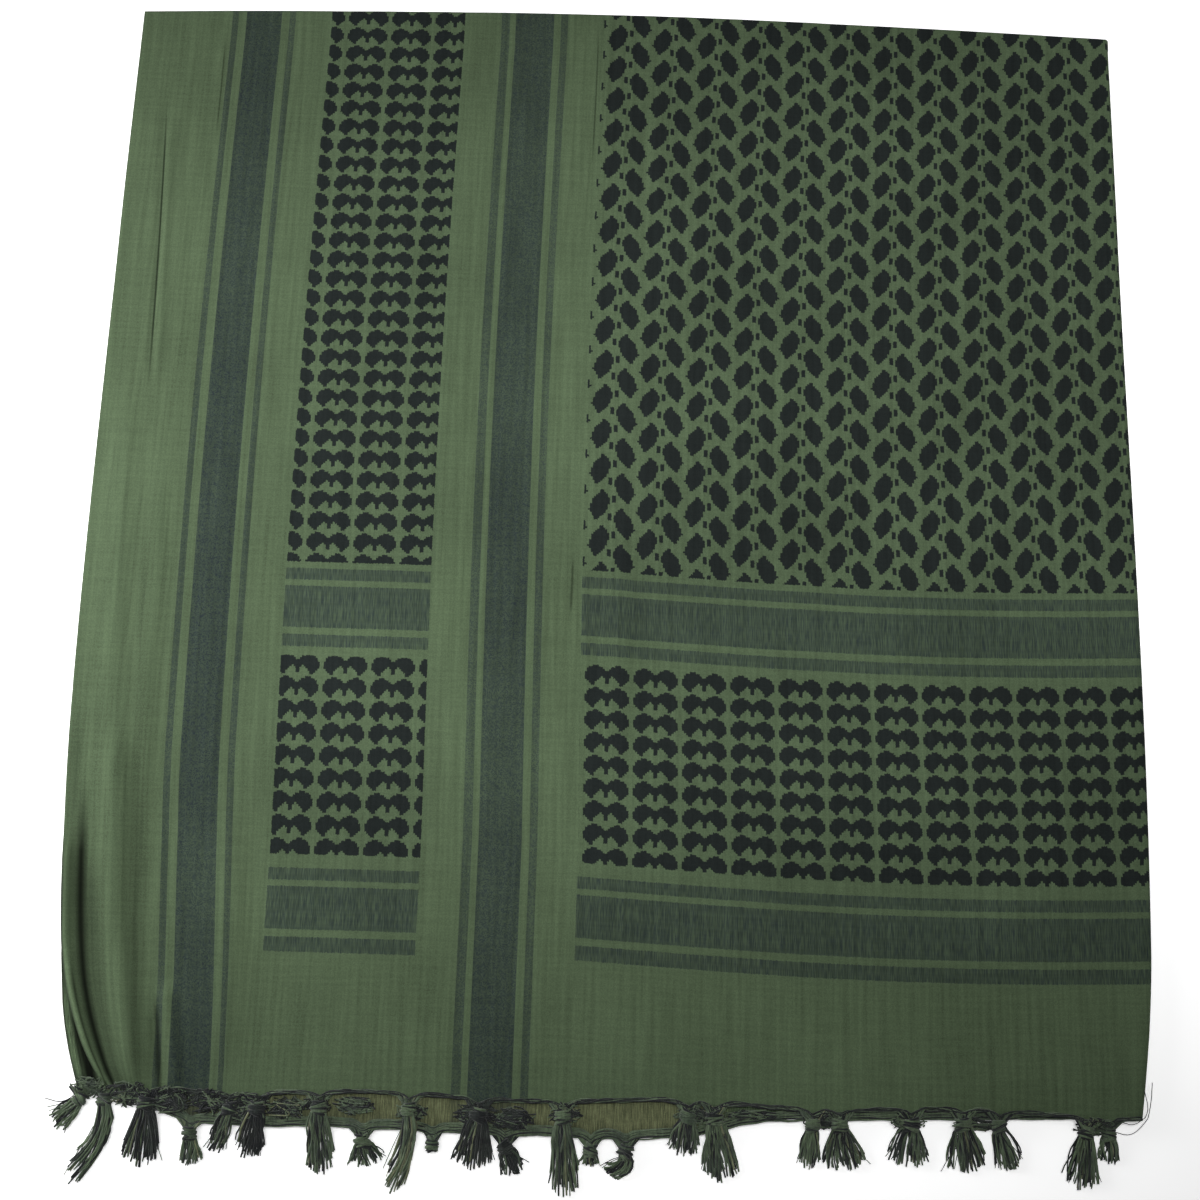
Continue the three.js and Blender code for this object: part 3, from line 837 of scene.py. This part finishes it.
def makeFaceCloth(grid):
    nearX = grid["marginColumns"]
    flatX = nearX + grid["columns"]
    countX = flatX + grid["rollSteps"]
    nearY = grid["lowRows"]
    flatY = nearY + grid["rows"]
    countY = flatY + grid["rollSteps"]
    bm = bmesh.new()
    bmesh.ops.create_grid(bm, x_segments=countX, y_segments=countY, size=0.5)
    uvLayer = bm.loops.layers.uv.new("cloth")
    bm.verts.ensure_lookup_table()
    width = 2 * halfWidth - grid["sideRoll"]
    height = faceHigh.y / mm - clothEdges["hem"] - grid["topRoll"]
    clothPlace = {}
    for vert in bm.verts:
        i = round((vert.co.x + 0.5) * countX)
        j = round((vert.co.y + 0.5) * countY)
        u, sideTurn, sideTuck = gridStep(i, nearX, flatX, grid["margin"], width, grid)
        v, topTurn, topTuck = gridStep(j, nearY, flatY, grid["low"], height, grid)
        y = clothEdges["hem"] + v
        left = readTable(clothEdges["faceLeft"], y)
        side = readTable(clothEdges["side"], y) - grid["sideRoll"]
        x = left + (side - left) * u / width
        low = faceHemBase(x)
        crown = topY(x) - grid["topRoll"]
        y = mixed(low, crown, v / height) - hemDip("face", x) * math.exp(-v / hemShape["fade"])
        z = grid["top"] + foldRise(x, y)
        sideDrop = grid["sideRoll"] * (1 - math.cos(sideTurn))
        topDrop = grid["topRoll"] * (1 - math.cos(topTurn))
        z -= math.hypot(sideDrop, topDrop)
        rollU = grid["sideRoll"] * sideTurn + sideTuck
        rollV = grid["topRoll"] * topTurn + topTuck
        clothPlace[vert.index] = ((drawnAcross(x, y, left) + rollU) * mm, (drawnUp(x, y) + rollV) * mm)
        x += grid["sideRoll"] * math.sin(sideTurn) - sideTuck
        y += grid["topRoll"] * math.sin(topTurn) - topTuck
        vert.co = Vector((x, y, max(z, grid["wall"] + 0.05))) * mm
    for face in bm.faces:
        for loop in face.loops:
            loop[uvLayer].uv = clothPlace[loop.vert.index]
    cloth = meshFrom(bm, "faceCloth")
    wall = cloth.modifiers.new("wall", "SOLIDIFY")
    wall.thickness = grid["wall"] * mm
    wall.offset = -1
    finishPiece(cloth, faceMaterial, "green_cloth", "face_quarter")
    return cloth


def gridStep(index, near, flat, nearSize, size, grid):  # a line of the grid: place, turn of the fold, tuck under it
    if index <= near:
        return nearSize * index / near, 0.0, 0.0
    if index <= flat:
        return mixed(nearSize, size, (index - near) / (flat - near)), 0.0, 0.0
    steps = grid["rollSteps"]
    turnSteps = steps - 2
    step = index - flat
    if step <= turnSteps:
        return size, math.pi * step / turnSteps, 0.0
    return size, math.pi, grid["tuck"] * (step - turnSteps) / (steps - turnSteps)


makeFaceCloth(faceGrid)
print("face ply made")


plies = [
    {"name": "secondPly", "top": 4.1, "left": 0.4, "hem": 0, "topIn": 0.8, "sideIn": 3.2},
    {"name": "thirdPly", "top": 2.75, "left": 2.2, "hem": 7.5, "topIn": 0.7, "sideIn": 3.4},
    {"name": "lowestPly", "top": 1.35, "left": 0.6, "hem": 4.5, "topIn": 0.9, "sideIn": 2.2},
]
plyHeight, plyNear = 612, 40  # from hem to top fold, and the part near the hem with closer rows
plyHalf, plyWall = 272, 0.9
plyEdge = {"width": 12, "drop": 0.25}  # it thins towards its left edge


def makePly(row):
    columns, nearRows, farRows = 190, 16, 24
    countY = nearRows + farRows
    bm = bmesh.new()
    bmesh.ops.create_grid(bm, x_segments=columns, y_segments=countY, size=0.5)
    uvLayer = bm.loops.layers.uv.new("cloth")
    clothPlace = {}
    for vert in bm.verts:
        s = vert.co.x + 0.5
        j = round((vert.co.y + 0.5) * countY)
        v = plyNear * j / nearRows if j <= nearRows else mixed(plyNear, plyHeight, (j - nearRows) / farRows)
        roughX = mixed(-plyHalf, plyHalf, s)
        roughY = mixed(underHemBase(roughX) + row["hem"], topY(roughX), v / plyHeight)
        left = readTable(clothEdges["layersLeft"], roughY) + row["left"]
        side = readTable(clothEdges["side"], roughY) - row["sideIn"]
        x = mixed(left, side, s)
        low = underHemY(x) + row["hem"]
        high = topY(x) - row["topIn"]
        y = mixed(low, high, v / plyHeight)
        z = row["top"] + 0.15 * noise.noise(Vector((x * 0.04, y * 0.02, row["top"])))
        edge = smooth((x - left) / plyEdge["width"])
        z -= (1 - edge) * plyEdge["drop"]
        vert.co = Vector((x, y, z)) * mm
        clothPlace[vert.index] = (drawnAcross(x, y, left) * mm, (v + 2 * noise.noise(Vector((x, y, 0)) * 0.05)) * mm)
    for face in bm.faces:
        for loop in face.loops:
            loop[uvLayer].uv = clothPlace[loop.vert.index]
    ply = meshFrom(bm, row["name"])
    wall = ply.modifiers.new("wall", "SOLIDIFY")
    wall.thickness = plyWall * mm
    wall.offset = -1
    finishPiece(ply, reverseMaterial if row["name"] != "thirdPly" else faceMaterial, "under_cloth", "folded_layers")
    return ply


for row in reversed(plies):
    makePly(row)
print("hidden plies made")


def yarnCurves(name, strands, slotName, *nodes):
    data = bpy.data.curves.new(name, "CURVE")
    data.dimensions = "3D"
    data.bevel_depth = 1.0
    data.bevel_resolution = 0
    data.use_fill_caps = True
    for material in yarns:
        data.materials.append(material)
    for strand in strands:
        spline = data.splines.new("POLY")
        spline.points.add(len(strand["points"]) - 1)
        for point, (place, radius) in zip(spline.points, strand["points"]):
            point.co = (place[0] * mm, place[1] * mm, max(place[2], radius) * mm, 1)
            point.radius = radius * mm
        spline.use_cyclic_u = strand.get("closed", False)
        spline.material_index = strand["yarn"]
        spline.use_smooth = True
    curve = bpy.data.objects.new(name, data)
    bpy.context.collection.objects.link(curve)
    bpy.context.view_layer.update()
    mesh = bpy.data.meshes.new_from_object(curve.evaluated_get(bpy.context.evaluated_depsgraph_get()))
    mesh.name = name
    bpy.data.objects.remove(curve)
    obj = bpy.data.objects.new(name, mesh)
    bpy.context.collection.objects.link(obj)
    finishPiece(obj, None, slotName, *nodes)
    return obj


def pickYarn(black, pale):
    chance = random.random()
    if chance < black:
        return 1
    return 2 if chance > 1 - pale else 0


headingSettings = {
    "strands": 9, "from": -240, "to": 268, "step": 2.4, "radius": 0.3,
    "tangles": [  # knotted bunches of yarn along the hem: centre, half sizes, strands, share of black
        (-247, -275, 9, 6, 36, 0.25), (-228, -278, 12, 7, 44, 0.6), (-208, -280, 12, 7, 50, 0.85),
        (-188, -280, 12, 7, 40, 0.7), (-170, -282, 12, 8, 56, 0.85), (-150, -282, 11, 6, 34, 0.6),
        (-136, -280, 8, 5, 20, 0.4), (-118, -280, 12, 5, 30, 0.4), (-90, -282, 9, 5, 24, 0.4),
        (-58, -282, 12, 6, 40, 0.9), (-40, -284, 12, 6, 40, 0.9), (-15, -281, 9, 6, 28, 0.4),
        (48, -280, 12, 5, 30, 0.5), (76, -279, 14, 3, 18, 0.5), (112, -281, 12, 4, 24, 0.5),
        (152, -280, 10, 4, 18, 0.5), (187, -280, 14, 4, 26, 0.5), (244, -280, 11, 5, 28, 0.5),
    ],
    "loose": [  # single threads that stand off the hem
        [(272, -258), (271, -268), (268, -279), (262, -284), (254, -282)],
        [(268, -262), (270, -272), (264, -279), (256, -277)],
        [(-247, -270), (-256, -280), (-262, -283), (-270, -281)],
        [(-150, -279), (-157, -283), (-165, -281), (-168, -276)],
    ],
}


def rounded(line, times):  # cuts the corners of a line of points
    for turn in range(times):
        cut = [line[0]]
        for a, b in zip(line, line[1:]):
            cut += [a.lerp(b, 0.25), a.lerp(b, 0.75)]
        line = cut + [line[-1]]
    return line


def strandLift(k):
    return 0.3 + 0.9 * ((k * 7) % 5) / 5


def makeHeading(settings):
    strands = []
    count = int((settings["to"] - settings["from"]) / settings["step"])
    for k in range(settings["strands"]):
        points = []
        turn = random.uniform(0, 6.28)
        for i in range(count + 1):
            x = settings["from"] + i * settings["step"]
            wander = 0.7 * math.sin(x * 0.13 + turn) + 1.1 * noise.noise(Vector((x * 0.12, k * 9.1, 0)))
            y = faceHemY(x) + 0.7 + wander
            z = faceGrid["top"] + strandLift(k) * 0.6 + 0.3 * math.cos(x * 0.16 + turn) + max(0, foldRise(x, y))
            points.append(((x, y, z), settings["radius"] * random.uniform(0.7, 1.2)))
        strands.append({"points": points, "yarn": 1 if k % 3 else 0})
    for x, y, wide, deep, many, black in settings["tangles"]:
        for k in range(many):
            line = []
            for step in range(5):
                turn, reach = random.uniform(0, 2 * math.pi), math.sqrt(random.random())
                line.append(Vector((x + wide * reach * math.cos(turn), y + deep * reach * math.sin(turn))))
            points = []
            for step, at in enumerate(rounded(line, 2)):
                z = restHeight("face", at.x, at.y) + 0.4 + 1.9 * (k / many) + 0.4 * math.sin(step)
                points.append(((at.x, at.y, z), random.uniform(0.24, 0.4)))
            strands.append({"points": points, "yarn": pickYarn(black, 0.02)})
    for line in settings["loose"]:
        line = rounded([Vector(at) for at in line], 2)
        points = [((at.x, at.y, restHeight("face", at.x, at.y) + 0.6), 0.2) for at in line]
        strands.append({"points": points, "yarn": 1})
    return yarnCurves("fringeHeading", strands, "heading", "fringe_heading")


underCordSettings = {"strands": 11, "from": -228, "to": 266, "step": 2.0, "pitch": 0.42, "radius": 0.42}


def makeUnderCord(settings):  # the second ply's own hem yarns
    strands = []
    count = int((settings["to"] - settings["from"]) / settings["step"])
    for k in range(settings["strands"]):
        points = []
        for i in range(count + 1):
            x = settings["from"] + i * settings["step"]
            y = underHemY(x) - 0.5 + settings["pitch"] * k + 0.8 * noise.noise(Vector((x * 0.1, k * 5.3, 2)))
            points.append(((x, y, 3.9 + strandLift(k) * 0.5), settings["radius"] * random.uniform(0.8, 1.2)))
        strands.append({"points": points, "yarn": 1 if k % 3 == 2 else 0})
    return yarnCurves("underHemCord", strands, "under_cloth", "folded_layers")


threadRest = {"onUnder": 4.2, "besideUnder": 3.4, "floor": 0.1, "fall": 7}


def restHeight(ply, x, y):  # what a thread lies on at this place
    if y > faceHemY(x) and ply == "face":
        return faceGrid["top"] + foldRise(x, y)
    if ply == "face" and y > underHemY(x) - 1:
        return threadRest["onUnder"]
    past = (underHemY(x) - 1 - y) / threadRest["fall"]
    base = threadRest["onUnder" if ply == "face" else "besideUnder"]
    return mixed(base, threadRest["floor"], smooth(past))


tasselShape = {
    "knotDrop": 3.2, "rootSpread": 7.0, "strandShare": 1.45, "knotTurns": 8, "strayEnds": 3,
    "waist": (1.2, 0.035, 2.9),  # least, more for each thread, most
}


def makeTassel(index, row):
    shape = tasselShape
    ply = row["ply"]
    hemY = faceHemY if ply == "face" else underHemY
    rootX = row["rootX"]
    knot = Vector((rootX, hemY(rootX) - shape["knotDrop"]))
    tip = Vector(row["tip"])
    length = (tip - knot).length
    ahead = (tip - knot).normalized()
    across = Vector((-ahead.y, ahead.x))
    least, more, most = shape["waist"]
    waist = min(most, least + row["threads"] * more)
    strands = []

    def lay(place, lift, radius):
        return ((place.x, place.y, restHeight(ply, place.x, place.y) + lift), radius)

    for k in range(int(row["threads"] * shape["strandShare"])):
        spread = random.uniform(-1, 1)
        deep = random.random()
        reach = length * random.uniform(0.72, 1.04) * (1 - 0.16 * spread ** 2)
        wobble, turn = random.uniform(-1.3, 1.3), random.uniform(0, 6.28)
        thick = random.uniform(0.38, 0.62)
        start = Vector((rootX + spread * shape["rootSpread"], 0))
        start.y = hemY(start.x) + random.uniform(-0.6, 1.2)
        points = [lay(start, 0.35 + 0.3 * deep, thick * 0.8)]
        points.append(lay(start.lerp(knot, 0.6) + Vector((wobble * 0.5, -0.4)), 0.9 + deep * 1.3, thick))
        points.append(lay(knot + across * spread * waist, 0.7 + deep * 2.3, thick))
        for share in (0.24, 0.44, 0.62, 0.82, 1.0):
            fan = spread * (waist * (1 - share) + row["half"] * share ** 0.85)
            bowed = row["bow"] * 4 * share * (1 - share)
            sway = wobble * math.sin(share * 5 + turn)
            place = knot + ahead * reach * share + across * (fan + bowed + sway)
            lift = mixed(0.6 + deep * 2.6, 0.4 + deep * 1.7, share)
            points.append(lay(place, lift, thick * (1.08 - 0.3 * share)))
        strands.append({"points": points, "yarn": pickYarn(row["black"], row["pale"])})
    for k in range(shape["knotTurns"]):  # the knot: turns of the same yarn
        tilt = random.uniform(-0.7, 0.7)
        at = knot + ahead * (0.75 * k - 2.4)
        wide = waist + 1.3 - 0.16 * (k - 3.5) ** 2 * 0.6
        ring = []
        for step in range(10):
            turn = 2 * math.pi * step / 10
            place = at + across * wide * math.cos(turn) + ahead * (tilt * math.cos(turn) * 1.8)
            high = restHeight(ply, at.x, at.y) + 2.1 + 1.75 * math.sin(turn)
            ring.append(((place.x, place.y, high), random.uniform(0.55, 0.8)))
        strands.append({"points": ring, "yarn": pickYarn(row["black"], 0), "closed": True})
    for k in range(shape["strayEnds"]):  # stray ends
        side = random.choice((-1, 1))
        start = knot + ahead * length * random.uniform(0.2, 0.4)
        spill = random.uniform(0.5, 1.2) * row["half"]
        points = []
        for share in (0, 0.35, 0.7, 1.0):
            place = start + ahead * length * 0.55 * share + across * side * (1 + spill * share ** 0.8)
            points.append(lay(place, 0.5, 0.2))
        strands.append({"points": points, "yarn": pickYarn(row["black"], row["pale"])})
    return yarnCurves(f"tassel{index:02d}", strands, "fringe", f"tassel_{index:02d}")


makeHeading(headingSettings)
makeUnderCord(underCordSettings)
fringe = [makeTassel(index + 1, row) for index, row in enumerate(tassels)]
print("heading and", len(fringe), "tassels made")
